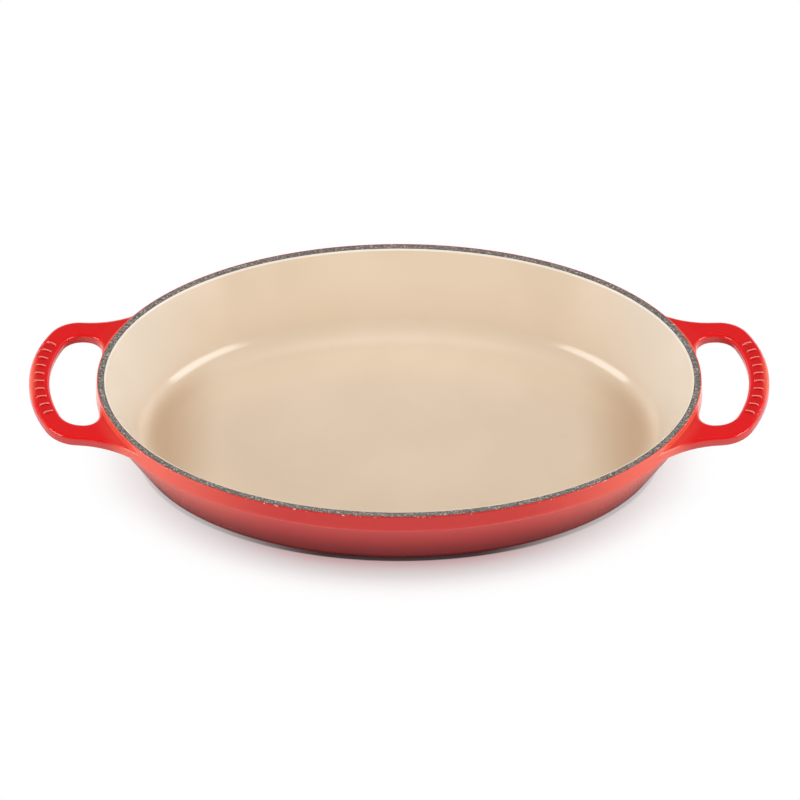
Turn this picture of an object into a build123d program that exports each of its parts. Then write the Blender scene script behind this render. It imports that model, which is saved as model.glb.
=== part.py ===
"""Oval gratin dish with two loop handles: one iron casting under fired enamel coats.

Millimetres. The dish stands on z = 0, with its length along X and its width along Y.
"""
import math
import os

from build123d import *

# Dish, outside
rim_half_length = 180.0     # outer edge of the rim, along X
rim_half_width = 121.0      # outer edge of the rim, along Y
rim_height = 57.4           # rim above the table
band_depth = 10.4           # height of the thicker band below the rim
band_outset = 0.7           # how far the band's lower edge stands out past the rim
base_inset = 24.8           # the wall's foot lies this far inside the rim
base_corner_radius = 5.0    # rounding between wall and underside
rim_edge_radius = 0.45      # rounding of the outer enamel where it stops at the rim

# Dish, inside
wall_at_rim = 4.9           # whole wall at the rim, coats included
floor_thickness = 5.2       # whole floor, coats included, without the foot ring
inner_wall_lean = 23.8      # degrees from upright
inner_corner_radius = 20.0  # rounding between wall and floor

# Foot ring under the dish
foot_height = 0.8           # underside above the table
foot_width = 6.0
foot_setback = 7.0          # from the wall's foot to the ring

# Coats
outside_coat = 0.6
inside_coat = 0.5
ground_coat = 0.4           # left bare along the rim and under the foot ring

# Handles, level with the ground before they are tilted
arm_standoff = 9.4          # from the rim to where an arm begins to run straight
arm_length = 1.0            # straight part of an arm, between its two curves
arm_spread = 16.6           # how far an arm spreads sideways on its way to the band
arm_width = 12.4            # from the outside of an arm to the finger hole
handle_half_span = 51.6     # half the handle's width, outside
grip_radius = 80.0          # long curve of the grip, outside
grip_corner_radius = 21.5   # curve from the grip into an arm, outside
grip_width = 12.2           # from the outermost point of the grip to the finger hole
handle_thickness = 7.6
handle_drop = 1.3           # top of the handle below the rim, at the wall
handle_rise = 3.4           # degrees that the handle climbs outwards
handle_edge_radius = 2.3

# Finger hole in each handle
hole_side_radius = 72.0     # long curve of the hole's outer side
hole_corner_radius = 13.5   # corners at the grip
hole_root_radius = 9.5      # corners at the wall
hole_end_length = 1.5       # straight part between two corners

# Raised ribs on each grip
rib_count = 10
rib_sweep = 48.0            # degrees of the grip's curve that the ribs take
rib_length = 6.0            # across the grip
rib_width = 1.7
rib_height = 0.75
rib_coat_share = 1.4        # of the coat's thickness that a rib of the casting is narrower

cut_overrun = 10.0          # how far a cutting solid runs past what it cuts

# Lean of the outer wall below the band, from upright
seam_z = rim_height - band_depth
wall_drop = seam_z - foot_height
wall_run = base_inset + band_outset
wall_lean_cosine = wall_drop / math.hypot(wall_drop, wall_run)

# Places of a handle's curves
arm_start_x = rim_half_length + arm_standoff
arm_end_x = arm_start_x + arm_length
grip_centre_across = handle_half_span - grip_corner_radius
grip_centre_x = arm_end_x - math.sqrt((grip_radius - grip_corner_radius) ** 2 - grip_centre_across ** 2)
handle_reach = grip_centre_x + grip_radius
flare_end_y = handle_half_span + arm_spread
flare_end_x = rim_half_length * math.sqrt(1 - (flare_end_y / rim_half_width) ** 2)
flare_length = arm_start_x - flare_end_x
flare_radius = (flare_length ** 2 + arm_spread ** 2) / (2 * arm_spread)
flare_turn = math.asin(flare_length / flare_radius)
hole_centre_x = handle_reach - grip_width - hole_side_radius
hole_half_span = handle_half_span - arm_width


def oval(inset, z):
    """Oval face at height z, drawn in from the rim's outer edge by the same amount all round."""
    return Pos(0, 0, z) * Ellipse(rim_half_length - inset, rim_half_width - inset)


def dish_outside(coat):
    """The dish as a full block, with its outside drawn in by a coat's thickness."""
    slant = coat / wall_lean_cosine
    sole = oval(base_inset + slant - coat * wall_run / wall_drop, foot_height + coat)
    seam = oval(slant - band_outset, seam_z)
    rim = oval(coat, rim_height)
    wall = loft([sole, seam], ruled=True)
    wall = fillet(wall.edges().group_by(Axis.Z)[0], base_corner_radius - coat)
    band = loft([seam, rim], ruled=True)
    if not coat:
        band = fillet(band.edges().group_by(Axis.Z)[-1], rim_edge_radius)
    return wall + band + foot_ring(coat, foot_height + coat)


def foot_ring(coat, top):
    """The ring that the dish stands on, drawn in by a coat's thickness at its sides."""
    inset = base_inset + foot_setback
    bottom = ground_coat if coat else 0
    ring = oval(inset + coat, bottom) - oval(inset + foot_width - coat, bottom)
    return extrude(ring, top - bottom)


def inside_foot_ring():
    """The space under the middle of the dish, as a block that runs up into the floor."""
    inset = base_inset + foot_setback + foot_width / 2
    return extrude(oval(inset, 0), foot_height + floor_thickness / 2)


def cavity(coat):
    """The space inside the dish, made larger by a coat's thickness."""
    lean = math.radians(inner_wall_lean)
    slant = coat / math.cos(lean)
    floor_z = foot_height + floor_thickness - coat
    top_z = rim_height + cut_overrun
    mouth = oval(wall_at_rim - slant - cut_overrun * math.tan(lean), top_z)
    bottom = oval(wall_at_rim - slant + (rim_height - floor_z) * math.tan(lean), floor_z)
    space = loft([bottom, mouth], ruled=True)
    return fillet(space.edges().group_by(Axis.Z)[0], inner_corner_radius + coat)


def on_circle(centre, radius, angle):
    """Point on a circle, with the angle in radians from +X."""
    return centre[0] + radius * math.cos(angle), centre[1] + radius * math.sin(angle)


def flipped(point):
    """The same point on the other side of the X axis."""
    return point[0], -point[1]


def arc(start, middle, end):
    """Arc through three points."""
    return ThreePointArc(start, middle, end)


def handle_outline(coat):
    """Outline of the +X handle, from inside the wall round the grip and back."""
    corner = grip_corner_radius - coat
    half_span = handle_half_span - coat
    centre = (arm_end_x, grip_centre_across)
    turn = math.atan2(centre[1], centre[0] - grip_centre_x)
    meet = on_circle(centre, corner, turn)
    corner_middle = on_circle(centre, corner, (turn + math.pi / 2) / 2)
    arm_end = (arm_end_x, half_span)
    arm_start = (arm_start_x, half_span)
    flare = flare_radius + coat
    flare_centre = (arm_start_x, half_span + flare)
    flare_middle = on_circle(flare_centre, flare, -(math.pi + flare_turn) / 2)
    root = on_circle(flare_centre, flare, -math.pi / 2 - flare_turn)
    lines = [arc(flipped(meet), (handle_reach - coat, 0), meet), Line(root, flipped(root))]
    for place in (lambda point: point, flipped):
        lines.append(arc(place(meet), place(corner_middle), place(arm_end)))
        lines.append(Line(place(arm_end), place(arm_start)))
        lines.append(arc(place(arm_start), place(flare_middle), place(root)))
    return make_face(lines)


def hole_outline(coat):
    """Outline of the finger hole in the +X handle."""
    side = hole_side_radius + coat
    corner = hole_corner_radius + coat
    root = hole_root_radius + coat
    half_span = hole_half_span + coat
    across = half_span - corner
    centre = (hole_centre_x + math.sqrt((side - corner) ** 2 - across ** 2), across)
    turn = math.atan2(across, centre[0] - hole_centre_x)
    meet = on_circle(centre, corner, turn)
    corner_middle = on_circle(centre, corner, (turn + math.pi / 2) / 2)
    corner_end = (centre[0], half_span)
    root_centre = (centre[0] - hole_end_length, half_span - root)
    root_start = (root_centre[0], half_span)
    root_middle = on_circle(root_centre, root, math.pi * 3 / 4)
    root_end = (root_centre[0] - root, root_centre[1])
    outermost = (hole_centre_x + side, 0)
    lines = [arc(flipped(meet), outermost, meet), Line(root_end, flipped(root_end))]
    for place in (lambda point: point, flipped):
        lines.append(arc(place(meet), place(corner_middle), place(corner_end)))
        lines.append(Line(place(corner_end), place(root_start)))
        lines.append(arc(place(root_start), place(root_middle), place(root_end)))
    return make_face(lines)


def grip_ribs(coat):
    """Short raised ribs across the top of the grip, set along its curve."""
    middle_radius = grip_radius - grip_width / 2
    size = (rib_length - 2 * coat, rib_width - rib_coat_share * coat, 2 * rib_height)
    rib = fillet(Box(*size).edges().group_by(Axis.Z)[-1], size[1] / 3)
    ribs = []
    for k in range(rib_count):
        turn = rib_sweep * (k / (rib_count - 1) - 1 / 2)
        x, y = on_circle((grip_centre_x, 0), middle_radius, math.radians(turn))
        ribs.append(Pos(x, y, -coat) * Rot(0, 0, turn) * rib)
    return ribs


def handle(coat):
    """The +X handle: a flat loop with rounded edges and ribs, tilted up a little."""
    plate = handle_outline(coat) - hole_outline(coat)
    thickness = handle_thickness - 2 * coat
    loop = extrude(plate, thickness)
    levels = loop.edges().group_by(Axis.Z)
    inside_wall = plate.bounding_box().min.X + handle_edge_radius
    rounded = [edge for edge in levels[0] + levels[-1] if edge.center().X > inside_wall]
    loop = fillet(rounded, handle_edge_radius - coat)
    loop = Pos(0, 0, -handle_thickness + coat) * loop + grip_ribs(coat)
    hinge = Pos(rim_half_length, 0, rim_height - handle_drop)
    return hinge * Rot(0, -handle_rise, 0) * Pos(-rim_half_length, 0, 0) * loop


def whole_outside(coat):
    """Dish and both handles as one block, drawn in by a coat's thickness."""
    right = handle(coat)
    return dish_outside(coat) + right + mirror(right, Plane.YZ)


def above(z):
    """Everything above a height, as a cutting block."""
    size = 2 * (handle_reach + cut_overrun)
    tall = rim_height + cut_overrun
    return Pos(0, 0, z + tall / 2) * Box(size, size, tall)


def rim_block():
    """The thin slice of the dish's block that the rim's own coat takes."""
    slice_height = ground_coat + cut_overrun
    ring = extrude(oval(outside_coat, rim_height - ground_coat), slice_height)
    return ring - above(rim_height)


def single(shape):
    """The one solid of a shape."""
    solids = shape.solids()
    assert len(solids) == 1, f"{len(solids)} solids"
    return solids[0]


space_in_iron = cavity(inside_coat)
space_in_dish = cavity(0)
iron_block = whole_outside(outside_coat)
rim_slice = rim_block()
foot_ground_coat = single(foot_ring(0, ground_coat))

iron_casting = single(iron_block - rim_slice - space_in_iron)
rim_ground_coat = single(rim_slice - space_in_iron)
red_coat = whole_outside(0) - iron_block - rim_slice - foot_ground_coat - space_in_iron
outside_enamel = single(red_coat - inside_foot_ring())
sole_enamel = single(red_coat & inside_foot_ring())
inside_enamel = single(space_in_iron - space_in_dish - above(rim_height))

pieces = {
    "iron_casting": iron_casting,
    "outside_enamel": outside_enamel,
    "sole_enamel": sole_enamel,
    "inside_enamel": inside_enamel,
    "rim_ground_coat": rim_ground_coat,
    "foot_ground_coat": foot_ground_coat,
}

os.makedirs("parts", exist_ok=True)
for name, piece in pieces.items():
    export_step(piece, f"parts/{name}.step")
    print(name, round(piece.volume), "mm3", piece.bounding_box())
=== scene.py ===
# %% [markdown]
# # An oval gratin dish in a white studio
# The dish is one iron casting with a loop handle at each end. Its outside wears a gloss red
# enamel, its inside a pale sand one, and the rim shows the matt coat that lies under both.
# The CAD model fixes every size, so this lesson starts by loading it and only dresses it.

# %% Load the frame
import math

import bmesh
import bpy
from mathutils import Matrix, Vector


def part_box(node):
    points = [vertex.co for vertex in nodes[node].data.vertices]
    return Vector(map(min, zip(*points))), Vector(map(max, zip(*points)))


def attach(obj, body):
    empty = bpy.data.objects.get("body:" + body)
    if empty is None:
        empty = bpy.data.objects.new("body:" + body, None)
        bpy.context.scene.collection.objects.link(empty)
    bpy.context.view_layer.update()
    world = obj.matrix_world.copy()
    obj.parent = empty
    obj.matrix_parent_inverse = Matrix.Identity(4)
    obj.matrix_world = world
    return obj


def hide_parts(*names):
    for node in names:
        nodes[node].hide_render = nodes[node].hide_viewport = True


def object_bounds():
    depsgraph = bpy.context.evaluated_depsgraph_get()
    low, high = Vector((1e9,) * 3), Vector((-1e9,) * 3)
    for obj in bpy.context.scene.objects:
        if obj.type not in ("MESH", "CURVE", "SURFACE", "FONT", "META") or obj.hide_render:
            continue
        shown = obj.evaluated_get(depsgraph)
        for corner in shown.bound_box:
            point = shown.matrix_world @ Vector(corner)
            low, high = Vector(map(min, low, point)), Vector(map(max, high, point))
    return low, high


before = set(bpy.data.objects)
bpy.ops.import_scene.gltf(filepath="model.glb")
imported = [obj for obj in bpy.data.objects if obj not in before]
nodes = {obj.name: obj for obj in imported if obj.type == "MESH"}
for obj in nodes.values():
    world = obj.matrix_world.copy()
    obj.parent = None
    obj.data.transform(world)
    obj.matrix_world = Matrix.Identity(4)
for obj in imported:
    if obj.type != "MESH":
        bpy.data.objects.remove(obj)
cad_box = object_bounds()
print("nodes:", ", ".join(sorted(nodes)))

# %% [markdown]
# ## Where the dish is
# Heights and half axes come from the boxes of the CAD nodes, so the looks follow the model if
# it changes. Every level of the dish is an oval, drawn in from the rim by the same amount all
# round, so a pair of numbers, inset and height, says where one ring of the dish lies.

# %% Sizes of the dish
MM = 0.001
outside_coat = 0.6 * MM
inside_coat = 0.5 * MM
rim_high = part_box("rim_ground_coat")[1]
rim_z = rim_high.z
rim_half_length = rim_high.x + outside_coat
rim_half_width = rim_high.y + outside_coat
floor_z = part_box("inside_enamel")[0].z + inside_coat
print(f"rim {2000 * rim_half_length:.1f} x {2000 * rim_half_width:.1f} mm at {1000 * rim_z:.1f} mm")

# %% [markdown]
# ## The camera
# A long lens far away keeps both ends of the dish nearly the same shape. It looks down at a
# little over forty degrees, so the floor of the dish, its front wall and both handles show.
# The camera is slid down a little, along its own up direction, to leave white below the dish,
# and a hair to the right, which sets the dish just left of the middle.

# %% Camera
camera_tilt = math.radians(42.5)
camera_distance = 4.5
camera_slide_right = 0.5 * MM
camera_slide_down = 13.1 * MM
lens_mm = 340.3
camera_up = Vector((0, math.sin(camera_tilt), math.cos(camera_tilt)))
camera_back = Vector((0, -math.cos(camera_tilt), math.sin(camera_tilt)))
camera_data = bpy.data.cameras.new("camera")
camera_data.lens = lens_mm
camera_data.clip_end = 100
camera = bpy.data.objects.new("camera", camera_data)
bpy.context.scene.collection.objects.link(camera)
camera.location = (Vector((camera_slide_right, 0, rim_z)) + camera_back * camera_distance
                   - camera_up * camera_slide_down)
camera.rotation_euler = (math.pi / 2 - camera_tilt, 0, 0)
bpy.context.scene.camera = camera
print("camera at", [round(value, 3) for value in camera.location])

# %% [markdown]
# ## Writing materials as sums
# A finish is easier to read as a formula than as a list of node links. One small class wraps
# a number that varies over the surface, and each sign adds a Math node. Another holds a
# material and makes every other node through a single method.


# %% Varying numbers
class Value:
    """A number that varies over a surface; arithmetic on it adds Math nodes."""

    def __init__(self, finish, socket):
        self.finish = finish
        self.socket = socket

    def math(self, operation, *others):
        sockets = dict(enumerate((self, *others)))
        return self.finish.node("ShaderNodeMath", {"operation": operation}, sockets)

    def __add__(self, other):
        return self.math("ADD", other)

    def __sub__(self, other):
        return self.math("SUBTRACT", other)

    def __rsub__(self, other):
        return (self * -1) + other

    def __mul__(self, other):
        return self.math("MULTIPLY", other)

    def __truediv__(self, other):
        return self.math("DIVIDE", other)

    __radd__ = __add__
    __rmul__ = __mul__

    def rise(self, low, high):
        """Nought below low, one above high, and a smooth step between."""
        sockets = {"Value": self, "From Min": low, "From Max": high}
        return self.finish.node("ShaderNodeMapRange", {"interpolation_type": "SMOOTHSTEP"}, sockets)


# %% Materials
class Finish:
    """A material, and the one method that makes its nodes."""

    def __init__(self, name):
        self.material = bpy.data.materials.new(name)
        self.material.use_nodes = True
        self.tree = self.material.node_tree
        self.shader = self.tree.nodes["Principled BSDF"]
        self.place = self.node("ShaderNodeTexCoord", output="Object").socket

    def node(self, kind, settings=None, sockets=None, output=0):
        """Makes a node, sets it up, fills or links its sockets, and wraps one output."""
        made = self.tree.nodes.new(kind)
        for name, value in (settings or {}).items():
            setattr(made, name, value)
        for name, value in (sockets or {}).items():
            self.join(made.inputs[name], value)
        return Value(self, made.outputs[output])

    def join(self, socket, value):
        """Links a varying value to a socket, or sets a constant on it."""
        if isinstance(value, Value):
            value = value.socket
        if isinstance(value, bpy.types.NodeSocket):
            self.tree.links.new(value, socket)
        else:
            socket.default_value = value

    def axis(self, letter):
        """One coordinate of the place on the object, in metres."""
        return self.node("ShaderNodeSeparateXYZ", None, {"Vector": self.place}, letter)

    def oval(self, half_length, half_width):
        """Distance from the middle, counted in ovals of the given half axes."""
        along = self.axis("X") / half_length
        across = self.axis("Y") / half_width
        return (along * along + across * across).math("SQRT")

    def inset(self, half_length, half_width):
        """Distance in from the edge of an oval, in metres."""
        share = self.oval(half_length, half_width)
        along = self.axis("X") / half_length ** 2
        across = self.axis("Y") / half_width ** 2
        return (1 - share) * share / (along * along + across * across).math("SQRT")

    def noise(self, grain, detail=2.0, rough=0.5):
        """Soft noise whose lumps are about grain metres across."""
        sockets = {"Vector": self.place, "Scale": 1 / grain, "Detail": detail, "Roughness": rough}
        return self.node("ShaderNodeTexNoise", None, sockets)

    def blend(self, factor, first, second, mode="MIX"):
        """Colour between two colours, or the first one multiplied by the second."""
        sockets = {"Factor": factor, 6: first, 7: second}
        return self.node("ShaderNodeMix", {"data_type": "RGBA", "blend_type": mode}, sockets, 2)

    def bump(self, height, depth, strength=1.0):
        """Normal of a surface whose relief is height times depth metres."""
        sockets = {"Height": height, "Distance": depth, "Strength": strength}
        return self.node("ShaderNodeBump", None, sockets)

    def dress(self, **sockets):
        """Sets the shader's sockets; an underscore in a name stands for a space."""
        for name, value in sockets.items():
            self.join(self.shader.inputs[name.replace("_", " ")], value)
        return self.material


def colour(red, green, blue):
    """Opaque colour from linear shares of light."""
    return (red, green, blue, 1.0)


print("material tools ready")

# %% [markdown]
# ## Red enamel
# Gloss enamel is glass fused to iron. The upper coat is sprayed thinner towards the base, so
# the orange-red of the band deepens to maroon near the foot. Towards the ends of the dish, on
# the outermost edge of the grips and at the handles' roots the red is lighter and more orange,
# as a painted highlight, and a pale painted highlight runs along the lower edge of the band,
# over the rounded seam. Each of these is a mask worked out from the place on the dish, which
# lays one more colour over the last, so the finish is made of short functions, one for each
# part of the dish.

# %% Red enamel colours
maroon = colour(0.275, 0.024, 0.023)
orange_red = colour(0.60, 0.017, 0.012)
# painted highlight: lighter orange-red where strong side light falls on the ends of the dish
end_highlight_coral = colour(0.88, 0.125, 0.075)
# painted highlight along the rounded seam between band and lower wall
seam_highlight_red = colour(0.86, 0.10, 0.08)
handle_top_red = colour(0.70, 0.009, 0.010)
# painted sheen: the handles' sides paler and more orange than their tops
handle_side_sheen_red = colour(0.60, 0.045, 0.040)
# painted highlight on the outermost rounded edge of the grips
grip_edge_highlight = colour(0.92, 0.14, 0.09)
# painted highlight where the handles' arms run into the wall
root_highlight_coral = colour(0.90, 0.17, 0.115)
between_ribs_red = colour(0.50, 0.006, 0.007)
# painted highlight along each rib's crest
rib_crest_highlight = colour(0.95, 0.42, 0.34)
pinhole_brown = colour(0.12, 0.006, 0.006)
# painted highlight in patches along the red's edge at the rim
rim_edge_highlight_pale = colour(0.72, 0.55, 0.45)
print("reds from", maroon[:3], "to", end_highlight_coral[:3])

# %% Red of the wall
seam_z = 47 * MM
seam_drop = 0.7 * MM
seam_soft = 0.6 * MM
seam_share = 0.5
maroon_below = 4 * MM
orange_above = 52 * MM
cloud_grain = 45 * MM
cloud_lift = 6 * MM
coral_from = 0.35 * rim_half_length
coral_full = 0.9 * rim_half_length
coral_at_foot = 0.25
coral_climb = 0.65


def wall_red(finish):
    """Maroon at the foot, orange-red at the band, with painted highlights: lighter at the ends and pale on
    the seam.
    """
    height = finish.axis("Z")
    cloud = finish.noise(cloud_grain, detail=3) - 0.5
    climb = (height + cloud * cloud_lift).rise(maroon_below, orange_above)
    red = finish.blend(climb, maroon, orange_red)
    # painted highlight towards the ends of the dish, strongest up the band
    to_end = finish.axis("X").math("ABSOLUTE").rise(coral_from, coral_full)
    red = finish.blend(to_end * (climb * coral_climb + coral_at_foot), red, end_highlight_coral)
    # painted highlight: a pale line along the rounded seam
    seam_start = seam_z - seam_drop
    on_seam = height.rise(seam_start, seam_start + seam_soft) * (1 - height.rise(seam_z, seam_z + seam_soft))
    return finish.blend(on_seam * seam_share, red, seam_highlight_red)


print("wall red made from", orange_red[:3])

# %% [markdown]
# ### Handles and ribs
# The top of a handle is a plane that starts just below the rim and climbs outwards. The depth
# below that plane tells the flat top, the rounded edge and the side apart, and the sides get a
# painted sheen. The ribs lie along a circle on each grip, so the angle on that circle, counted
# in pitches, tells how far a place is from the nearest rib. The strip of ribs is darker red, and
# a painted highlight runs along each crest, which wanders a little, as hand-finished ones do.

# %% Red of the handles
handle_drop = 1.3 * MM
handle_slope = math.tan(math.radians(3.4))
edge_start = 0.3 * MM
side_start = 1.2 * MM
side_full = 2.8 * MM
grip_edge_start = cad_box[1].x - 6 * MM
grip_edge_full = cad_box[1].x - 1 * MM
root_start = 1.01
root_end = 1.065
front_start = 20 * MM
front_full = 60 * MM
root_everywhere = 0.05
root_in_front = 0.18
root_on_edge = 0.55


def handle_red(finish):
    """Deep on top, with a painted sheen on the sides and painted highlights at the grip's edge and at the
    roots.
    """
    reach = finish.axis("X").math("ABSOLUTE")
    top_plane = (reach - rim_half_length) * handle_slope + (rim_z - handle_drop)
    depth = top_plane - finish.axis("Z")
    # painted highlight along the grip's outer edge
    red = finish.blend(reach.rise(grip_edge_start, grip_edge_full), handle_top_red, grip_edge_highlight)
    # painted sheen on the handles' sides, below the rounded edge
    red = finish.blend(depth.rise(side_start, side_full), red, handle_side_sheen_red)
    front = (finish.axis("Y") * -1).rise(front_start, front_full)
    near_wall = 1 - finish.oval(rim_half_length, rim_half_width).rise(root_start, root_end)
    on_edge = depth.rise(edge_start, side_start)
    # painted highlight at the roots, strongest on the rounded edges and in front
    root_highlight = near_wall * (root_everywhere + front * root_in_front + on_edge * root_on_edge)
    return finish.blend(root_highlight, red, root_highlight_coral)


print("handle top starts", round(1000 * handle_drop, 1), "mm below the rim")

# %% Ribs on the grips
rib_count = 10
rib_sweep = math.radians(48)
rib_pitch = rib_sweep / (rib_count - 1)
rib_offset = 0.5  # pitches from the middle of the grip to the first rib, as their number is even
rib_circle_x = 140.2 * MM
rib_circle_radius = 74.1 * MM
rib_half_length = 3 * MM
rib_low_z = 54 * MM
rib_full_z = 56 * MM
crest_half_width = 0.1 * MM
crest_end = 0.6 * MM
crest_bow = 0.5 * MM
crest_wander = 0.7 * MM
wander_grain = 3 * MM
rib_ends = (0.85, 1.15)
row_ends = (rib_sweep / 2 + 0.2 * rib_pitch, rib_sweep / 2 + 0.4 * rib_pitch)


def rib_zone(finish):
    """The strip of ribs on top of the grips, and the painted highlight along each crest."""
    out = finish.axis("X").math("ABSOLUTE") - rib_circle_x
    across = finish.axis("Y")
    radius = (out * out + across * across).math("SQRT")
    turn = across.math("ARCTAN2", out)
    count = turn / rib_pitch + rib_offset
    along = (radius - rib_circle_radius) / rib_half_length
    wander = (finish.noise(wander_grain) - 0.5) * crest_wander
    aside = (count - count.math("ROUND")) * (rib_pitch * rib_circle_radius)
    aside = (aside + along * along * crest_bow + wander).math("ABSOLUTE")
    line = 1 - aside.rise(crest_half_width, crest_end)
    ends = 1 - along.math("ABSOLUTE").rise(*rib_ends)
    row = 1 - turn.math("ABSOLUTE").rise(*row_ends)
    zone = ends * row * finish.axis("Z").rise(rib_low_z, rib_full_z)
    return zone, zone * line


print(rib_count, "ribs on each grip")

# %% [markdown]
# ### The whole red coat
# Wall and handles meet just outside the rim's oval. A few pinholes dot the glass, and where it
# stops at the rim pale patches here and there are painted highlights, on glass made rougher
# there by wear. Glass is never dead flat, so a faint orange peel and a slow swell bend its
# reflections.

# %% Red enamel
handle_join = (1.003, 1.011)
handle_heights = (40 * MM, 46 * MM)
between_ribs_share = 0.45
crest_share = 0.65
pinhole_grain = 0.9 * MM
pinhole_patches = (0.74, 0.78)
pinhole_share = 0.1
wear_and_highlight_heights = (rim_z - 0.55 * MM, rim_z - 0.25 * MM)
wear_and_highlight_grain = 2.6 * MM
wear_and_highlight_patches = (0.60, 0.66)
peel_grain = 3.5 * MM
swell_grain = 16 * MM
peel_share = 0.25
red_relief = 0.10 * MM
red_gloss_grain = 22 * MM
red_roughness = 0.07
red_roughness_swing = 0.05
worn_roughness = 0.4
red_glass_ior = 1.5


def red_enamel():
    """Gloss red over the wall and the handles, with painted highlights, small flaws and orange peel."""
    finish = Finish("red_enamel")
    past_rim = finish.oval(rim_half_length, rim_half_width).rise(*handle_join)
    on_handle = past_rim * finish.axis("Z").rise(*handle_heights)
    body = finish.blend(on_handle, wall_red(finish), handle_red(finish))
    zone, crests = rib_zone(finish)
    body = finish.blend(zone * between_ribs_share, body, between_ribs_red)
    # painted highlight on the rib crests
    body = finish.blend(crests * crest_share, body, rib_crest_highlight)
    pinholes = finish.noise(pinhole_grain, detail=1).rise(*pinhole_patches) * pinhole_share
    body = finish.blend(pinholes, body, pinhole_brown)
    # patches at the rim: pale painted highlight in colour, and rougher gloss from wear
    at_rim = finish.axis("Z").rise(*wear_and_highlight_heights) * (1 - past_rim)
    wear_and_highlight = at_rim * finish.noise(wear_and_highlight_grain, detail=3, rough=0.7).rise(*wear_and_highlight_patches)
    body = finish.blend(wear_and_highlight, body, rim_edge_highlight_pale)
    peel = finish.noise(peel_grain, detail=1.5) * peel_share
    skin = finish.bump(peel + finish.noise(swell_grain, detail=1), red_relief)
    gloss = red_roughness + finish.noise(red_gloss_grain) * red_roughness_swing + wear_and_highlight * worn_roughness
    return finish.dress(Base_Color=body, Roughness=gloss, Normal=skin, IOR=red_glass_ior)


red_finish = red_enamel()
print("made", red_finish.name)

# %% [markdown]
# ## Sand enamel
# The inside is a warm pale enamel, a little softer in gloss because it is washed and scraped.
# The corners at the two ends are darkened with painted shade, the end walls are lightened with
# painted light, and the lip at the back carries a painted highlight. Slow waves in its level keep
# the bright streaks in the corners from being ruler straight.

# %% Sand enamel
sand = colour(0.745, 0.600, 0.448)
light_sand = colour(0.775, 0.630, 0.478)
# painted light on the inner end walls
end_wall_painted_light = colour(0.775, 0.675, 0.56)
# painted shade in the low corners at both ends
corner_painted_shade = colour(0.57, 0.40, 0.265)
# painted highlight on the inner lip
lip_highlight_cream = colour(0.93, 0.87, 0.80)
speck_brown = colour(0.36, 0.25, 0.17)
end_wall_reach = (0.6 * rim_half_length, 0.9 * rim_half_length)
end_wall_heights = (10 * MM, 24 * MM)
corner_shade_reach = (0.58 * rim_half_length, 0.80 * rim_half_length)
corner_shade_heights = (6.5 * MM, 14 * MM)
lip_heights = (rim_z - 1.2 * MM, rim_z - 0.5 * MM)
lip_depths = (-40 * MM, 60 * MM)
lip_share = 0.6
sand_cloud_grain = 60 * MM
sand_cloud_patches = (0.3, 0.7)
speck_grain = 0.8 * MM
speck_patches = (0.77, 0.80)
speck_share = 0.25
wave_grain = 26 * MM
ripple_grain = 5 * MM
ripple_share = 0.12
sand_relief = 0.12 * MM
sand_gloss_grain = 30 * MM
sand_roughness = 0.13
sand_roughness_swing = 0.05
sand_glass_ior = 1.6


def sand_colour(finish):
    """Faint clouds, painted light on the end walls, a painted highlight on the lip, and painted shade in the
    end corners.
    """
    height = finish.axis("Z")
    reach = finish.axis("X").math("ABSOLUTE")
    body = finish.blend(finish.noise(sand_cloud_grain).rise(*sand_cloud_patches), sand, light_sand)
    # painted light on the end walls
    body = finish.blend(reach.rise(*end_wall_reach) * height.rise(*end_wall_heights), body, end_wall_painted_light)
    # painted shade in the end corners
    body = finish.blend(reach.rise(*corner_shade_reach) * (1 - height.rise(*corner_shade_heights)), body, corner_painted_shade)
    # painted highlight on the lip, towards the back
    lip = height.rise(*lip_heights) * finish.axis("Y").rise(*lip_depths)
    return finish.blend(lip * lip_share, body, lip_highlight_cream)


def sand_enamel():
    """Pale warm gloss with slow waves and a few dark specks."""
    finish = Finish("sand_enamel")
    specks = finish.noise(speck_grain, detail=1).rise(*speck_patches) * speck_share
    body = finish.blend(specks, sand_colour(finish), speck_brown)
    waves = finish.noise(wave_grain, detail=1) + finish.noise(ripple_grain, detail=1) * ripple_share
    gloss = sand_roughness + finish.noise(sand_gloss_grain) * sand_roughness_swing
    skin = finish.bump(waves, sand_relief)
    return finish.dress(Base_Color=body, Roughness=gloss, Normal=skin, IOR=sand_glass_ior)


sand_finish = sand_enamel()
print("made", sand_finish.name)

# %% [markdown]
# ## Ground coat and iron
# The rim and the foot ring carry only the first, matt coat: dark grey glass with pale and
# black grains in it, rough to the touch. Painted shade darkens both edges of the rim, beside the
# two enamels. The casting itself is hidden under its coats, but it is finished too, as a grainy
# grey iron.

# %% Ground coat
dark_grain = colour(0.045, 0.040, 0.038)
middle_grain = colour(0.27, 0.235, 0.21)
pale_grain = colour(0.62, 0.57, 0.50)
# painted shade along both edges of the rim
rim_edge_painted_shade = colour(0.030, 0.026, 0.024)
ground_grain = 0.75 * MM
ground_patches = (0.36, 0.64)
pale_grain_size = 1.3 * MM
pale_patches = (0.56, 0.66)
pale_grain_share = 0.75
rim_middle_inset = 2.5 * MM
rim_edge_start = 1.0 * MM
rim_edge_full = 2.1 * MM
rim_edge_shade_share = 0.65
rim_coat_heights = (rim_z - 2 * MM, rim_z - 1 * MM)
ground_relief = 0.25 * MM
ground_roughness = 0.55
ground_roughness_swing = 0.25


def rim_edges(finish):
    """How near a place on the rim lies to the edge of either enamel."""
    from_middle = finish.inset(rim_half_length, rim_half_width) - rim_middle_inset
    on_rim = finish.axis("Z").rise(*rim_coat_heights)
    return from_middle.math("ABSOLUTE").rise(rim_edge_start, rim_edge_full) * on_rim


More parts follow.
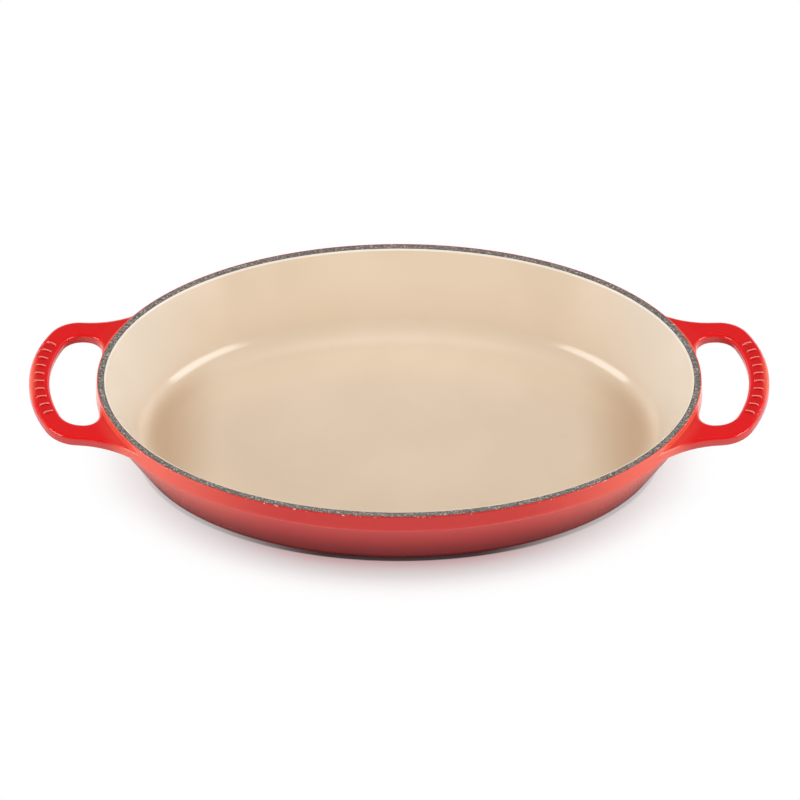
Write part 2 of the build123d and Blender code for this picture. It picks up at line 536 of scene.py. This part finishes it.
def ground_coat():
    """Matt grey coat full of pale and dark grains."""
    finish = Finish("ground_coat")
    grains = finish.noise(ground_grain, detail=3, rough=0.7)
    body = finish.blend(grains.rise(*ground_patches), dark_grain, middle_grain)
    pale = finish.noise(pale_grain_size, detail=2, rough=0.6).rise(*pale_patches) * pale_grain_share
    body = finish.blend(pale, body, pale_grain)
    # painted shade at the rim's edges
    body = finish.blend(rim_edges(finish) * rim_edge_shade_share, body, rim_edge_painted_shade)
    skin = finish.bump(grains, ground_relief)
    gloss = ground_roughness + grains * ground_roughness_swing
    return finish.dress(Base_Color=body, Roughness=gloss, Normal=skin)


ground_finish = ground_coat()
print("made", ground_finish.name)

# %% Cast iron
dark_iron = colour(0.07, 0.07, 0.075)
grey_iron = colour(0.19, 0.185, 0.18)
iron_grain = 1.2 * MM
iron_relief = 0.4 * MM
iron_metallic = 0.85
iron_roughness = 0.5
iron_roughness_swing = 0.3


def cast_iron():
    """Grainy dark iron, as it leaves the sand mould."""
    finish = Finish("cast_iron")
    grains = finish.noise(iron_grain, detail=4, rough=0.65)
    body = finish.blend(grains, dark_iron, grey_iron)
    skin = finish.bump(grains, iron_relief)
    gloss = iron_roughness + grains * iron_roughness_swing
    return finish.dress(Base_Color=body, Metallic=iron_metallic, Roughness=gloss, Normal=skin)


iron_finish = cast_iron()
print("made", iron_finish.name)

# %% [markdown]
# ## Rings into skins
# Each coat is a skin of stacked ovals. A circle is scaled to the first oval, and its edges
# are extruded once for every step of a profile, with each new loop scaled to its own inset.
# A spin could not do this, because the dish is not round.


# %% Stacked ovals
def new_points(made):
    """The vertices in what an operator returned."""
    return [item for item in made["geom"] if isinstance(item, bmesh.types.BMVert)]


def new_edges(made):
    """The edges in what an operator returned."""
    return [item for item in made["geom"] if isinstance(item, bmesh.types.BMEdge)]


def oval_skin(profile, columns):
    """Skin through one oval for each inset and height of a profile."""
    mesh = bmesh.new()
    inset, height = profile[0]
    loop = bmesh.ops.create_circle(mesh, segments=columns, radius=1)["verts"]
    bmesh.ops.scale(mesh, verts=loop, vec=(rim_half_length - inset, rim_half_width - inset, 1))
    bmesh.ops.translate(mesh, verts=loop, vec=(0, 0, height))
    edges = mesh.edges[:]
    for next_inset, next_height in profile[1:]:
        made = bmesh.ops.extrude_edge_only(mesh, edges=edges)
        edges = new_edges(made)
        shares = ((rim_half_length - next_inset) / (rim_half_length - inset),
                  (rim_half_width - next_inset) / (rim_half_width - inset), 1)
        bmesh.ops.scale(mesh, verts=new_points(made), vec=shares)
        bmesh.ops.translate(mesh, verts=new_points(made), vec=(0, 0, next_height - height))
        inset, height = next_inset, next_height
    return mesh, edges


def close_middle(mesh, edges, rings):
    """Fills the last oval with smaller ones, down to a pole in the middle."""
    for ring in range(rings, 0, -1):
        made = bmesh.ops.extrude_edge_only(mesh, edges=edges)
        edges = new_edges(made)
        share = (ring - 1) / ring
        bmesh.ops.scale(mesh, verts=new_points(made), vec=(share, share, 1))
    bmesh.ops.remove_doubles(mesh, verts=mesh.verts, dist=0.001 * MM)


def bend(centre, radius, start, end, steps):
    """Points of a profile along an arc, from one angle to another in degrees."""
    turns = [math.radians(start + (end - start) * step / steps) for step in range(steps + 1)]
    return [(centre[0] + radius * math.cos(turn), centre[1] + radius * math.sin(turn)) for turn in turns]


def piece(name, mesh, material):
    """Turns a bmesh into a finished piece that rides on the dish."""
    bmesh.ops.recalc_face_normals(mesh, faces=mesh.faces)
    data = bpy.data.meshes.new(name)
    mesh.to_mesh(data)
    mesh.free()
    data.shade_smooth()
    data.materials.append(material)
    made = bpy.data.objects.new(name, data)
    bpy.context.scene.collection.objects.link(made)
    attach(made, "root")
    return made


print("skin tools ready")

# %% [markdown]
# ## The inside coat
# The sand enamel starts as a rounded lip beside the bare rim, runs down the sloping wall,
# turns through a wide corner and covers the flat floor. Only its outer face is drawn, as a
# skin, and Solidify then gives the skin the thickness of the coat, towards the iron.

# %% Inside enamel
inside_columns = 256
wall_at_rim = 4.9 * MM
lip_radius = 0.7 * MM
lip_start = 150
lip_outset_share = 0.4
lip_steps = 5
inner_lean = 23.8
corner_radius = 20 * MM
corner_steps = 20
floor_rings = 8
coat_share = 0.9


def inside_profile():
    """From the lip, down the wall and round the corner to the edge of the flat floor."""
    lean = math.radians(inner_lean)
    corner_z = floor_z + corner_radius
    corner_inset = wall_at_rim + (rim_z - corner_z) * math.tan(lean) + corner_radius / math.cos(lean)
    lip_centre = (wall_at_rim - lip_radius * lip_outset_share, rim_z - lip_radius)
    lip = bend(lip_centre, lip_radius, lip_start, inner_lean / 2, lip_steps)
    corner = bend((corner_inset, corner_z), corner_radius, 180 + inner_lean, 270, corner_steps)
    return lip + corner


skin, inner_edges = oval_skin(inside_profile(), inside_columns)
close_middle(skin, inner_edges, floor_rings)
inside_enamel = piece("inside_enamel_coat", skin, sand_finish)
wall = inside_enamel.modifiers.new("coat", "SOLIDIFY")
wall.thickness = inside_coat * coat_share
wall.offset = -1
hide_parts("inside_enamel")
print("inside enamel:", len(inside_enamel.data.polygons), "faces")

# %% [markdown]
# ## The bare rim
# A low dome of ground coat covers the top of the casting between the two enamels. It is a
# closed ring, so its profile comes back to its start, and the last oval is merged with the
# first.

# %% Rim
rim_columns = 512
rim_outer = 0.45 * MM
rim_inner = 4.5 * MM
rim_sink = 0.35 * MM
rim_crown = 0.1 * MM
rim_steps = 8
rim_fullness = 0.35


def rim_profile():
    """Round the closed section of the rim's coat, starting at its outer edge."""
    middle = (rim_outer + rim_inner) / 2
    half = (rim_inner - rim_outer) / 2
    turns = [math.pi * step / rim_steps for step in range(rim_steps + 1)]
    domes = [(rim_sink + rim_crown) * math.sin(turn) ** rim_fullness for turn in turns]
    top = [(middle - half * math.cos(turn), rim_z - rim_sink + dome) for turn, dome in zip(turns, domes)]
    return top + [top[0]]


skin = oval_skin(rim_profile(), rim_columns)[0]
bmesh.ops.remove_doubles(skin, verts=skin.verts, dist=0.001 * MM)
rim = piece("rim_bare_coat", skin, ground_finish)
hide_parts("rim_ground_coat")
print("rim:", len(rim.data.polygons), "faces")

# %% [markdown]
# ## Solids that stay as they are
# The casting, both parts of the red coat and the coat under the foot already have their full
# shape in the CAD model: fillets, finger holes and raised ribs. They keep their meshes and only
# get their finishes.

# %% Finishes of CAD nodes
node_finishes = {"iron_casting": iron_finish, "outside_enamel": red_finish,
                 "sole_enamel": red_finish, "foot_ground_coat": ground_finish}
for name, material in node_finishes.items():
    nodes[name].data.materials.clear()
    nodes[name].data.materials.append(material)
print("finished", ", ".join(node_finishes))

# %% [markdown]
# ## Floor
# The dish stands on an endless white floor. Close to the dish the floor is diffuse and takes
# its shadow. Away from it, the floor glows plain white for the camera and for reflections,
# which puts no more light on the dish itself. Ovals around the dish say how far each effect
# reaches: the soft shadow, a painted dark contact shadow where the dish stands, and painted red
# light that the dish bounces onto the paper in front of it. Reflections see the floor darkened
# by painted shade near the dish, which keeps the lower wall deep red.

# %% Floor
floor_half = 12.0
floor_white = 0.93
# painted shade: reflections see the floor at this share of its white
mirrored_shade_share = 0.42
shade_half_length = 125 * MM
shade_half_width = 93 * MM
paper_from, paper_full = 0.8, 1.58
mirror_from, mirror_full = 0.8, 1.2
foot_half_length = 156.5 * MM
foot_half_width = 97.2 * MM
# painted contact shadow: a dark line on the floor along the dish's foot
contact_end = 1.009
contact_shadow_grey = 0.2
contact_at_ends = 0.3
contact_in_middle = 1.0
# painted red bounce light on the floor in front of the dish
bounce_end = 1.17
bounce_tint = 0.26
bounce_reach = (40 * MM, 120 * MM)


def grey(share):
    """Neutral grey from one linear share of light."""
    return colour(share, share, share)


def glowing_share(finish, contact):
    """How much of the floor is plain glowing paper, for camera rays and for mirrored rays."""
    seen = finish.node("ShaderNodeLightPath", output="Is Camera Ray")
    mirrored = finish.node("ShaderNodeLightPath", output="Is Glossy Ray")
    seen_far = finish.oval(shade_half_length, shade_half_width).rise(paper_from, paper_full)
    mirrored_far = finish.oval(rim_half_length, rim_half_width).rise(mirror_from, mirror_full)
    return seen * seen_far * (1 - contact) + mirrored * mirrored_far


def floor_finish():
    """White paper with a painted contact shadow and painted red bounce light, glowing white further out."""
    finish = Finish("white_floor")
    from_foot = finish.oval(foot_half_length, foot_half_width)
    aside = finish.axis("X").math("ABSOLUTE")
    middle = 1 - aside.rise(*bounce_reach)
    in_contact = contact_at_ends + middle * (contact_in_middle - contact_at_ends)
    # painted contact shadow along the foot, darkest in the middle
    contact = (1 - from_foot.rise(1, contact_end)) * in_contact
    # painted red bounce light, strongest close to the foot and in the middle
    near = 1 - from_foot.rise(1, bounce_end)
    painted_bounce = finish.blend(near * near * middle, grey(1), colour(1, 1 - bounce_tint, 1 - bounce_tint))
    mirrored = finish.node("ShaderNodeLightPath", output="Is Glossy Ray")
    # painted shade on the floor, for reflections only
    shade = finish.blend(mirrored, grey(floor_white), grey(floor_white * mirrored_shade_share))
    shade = finish.blend(contact, shade, grey(contact_shadow_grey), "MULTIPLY")
    shade = finish.blend(1, shade, painted_bounce, "MULTIPLY")
    glowing = glowing_share(finish, contact)
    return finish.dress(Base_Color=finish.blend(glowing, shade, grey(0)), Roughness=1.0,
                        Specular_IOR_Level=0.0, Emission_Color=finish.blend(glowing, grey(0), painted_bounce),
                        Emission_Strength=1.0)


floor_mesh = bmesh.new()
bmesh.ops.create_grid(floor_mesh, x_segments=1, y_segments=1, size=floor_half)
floor_data = bpy.data.meshes.new("floor")
floor_mesh.to_mesh(floor_data)
floor_mesh.free()
floor_data.materials.append(floor_finish())
floor = bpy.data.objects.new("floor", floor_data)
bpy.context.scene.collection.objects.link(floor)
print("floor", 2 * floor_half, "m wide")

# %% [markdown]
# ## Sky
# The sky is bright near the horizon, as white walls are, and dark overhead, which keeps the
# flat tops of the handles deep red. It is brighter behind the dish, where the back wall faces
# the camera, and dimmer in front, where the lower wall would mirror it. The camera itself sees
# plain white.

# %% Sky
horizon_light = 1.1
overhead_light = 0.12
dark_from_share = 0.62
front_from, front_to = 0.1, 0.9
back_from, back_to = 0.2, 0.9
front_dimming = 0.75
back_boost = 0.7


class Sky(Finish):
    """The world's nodes, made by the same method as a material's."""

    def __init__(self, name):
        self.material = bpy.data.worlds.new(name)
        self.material.use_nodes = True
        self.tree = self.material.node_tree
        self.shader = self.tree.nodes["Background"]
        self.place = self.node("ShaderNodeTexCoord", output="Generated").socket


def studio_sky():
    """White at the horizon and dim overhead, with paper white for the camera."""
    sky = Sky("studio")
    climb = sky.axis("Z").math("MAXIMUM", 0).rise(0, dark_from_share)
    front = (sky.axis("Y") * -1).rise(front_from, front_to)
    back = sky.axis("Y").rise(back_from, back_to)
    light = horizon_light + climb * (overhead_light - horizon_light)
    light = light * (1 - front * front_dimming) * (1 + back * back_boost)
    seen = sky.node("ShaderNodeLightPath", output="Is Camera Ray")
    return sky.dress(Color=colour(1, 1, 1), Strength=seen.math("MAXIMUM", light))


bpy.context.scene.world = studio_sky()
print("sky from", horizon_light, "to", overhead_light)

# %% [markdown]
# ## Soft boxes
# Two wide soft boxes stand low in front of the dish, one on each side, and draw the bright
# streaks in its back corners. Their lower edges are high enough to keep them off the sloping
# back wall, which mirrors only what is nearer to the horizon. A third box hangs overhead and
# lights the floor of the dish. It is hidden from reflections, because it would draw one more
# streak along the back.

# %% Soft boxes
box_width = 1.0
box_height = 0.65
box_distance = 1.5
box_places = {"left_box": (-66, 19, 9.4), "right_box": (65, 19, 10.0), "top_box": (0, 85, 15.2)}


def soft_box(name, turn, height, power):
    """Flat area lamp: degrees from the front and above the floor, then watts."""
    data = bpy.data.lights.new(name, "AREA")
    data.shape = "RECTANGLE"
    data.size = box_width
    data.size_y = box_height
    data.energy = power
    lamp = bpy.data.objects.new(name, data)
    bpy.context.scene.collection.objects.link(lamp)
    turn, height = math.radians(turn), math.radians(height)
    direction = Vector((math.sin(turn), -math.cos(turn), math.tan(height))).normalized()
    lamp.location = box_distance * direction
    lamp.rotation_euler = (-direction).to_track_quat("-Z", "Y").to_euler()
    return lamp


boxes = {name: soft_box(name, *place) for name, place in box_places.items()}
boxes["top_box"].visible_glossy = False
for name, lamp in boxes.items():
    print(name, [round(value, 2) for value in lamp.location])

# %% Finish
bpy.context.scene.view_settings.view_transform = "Standard"
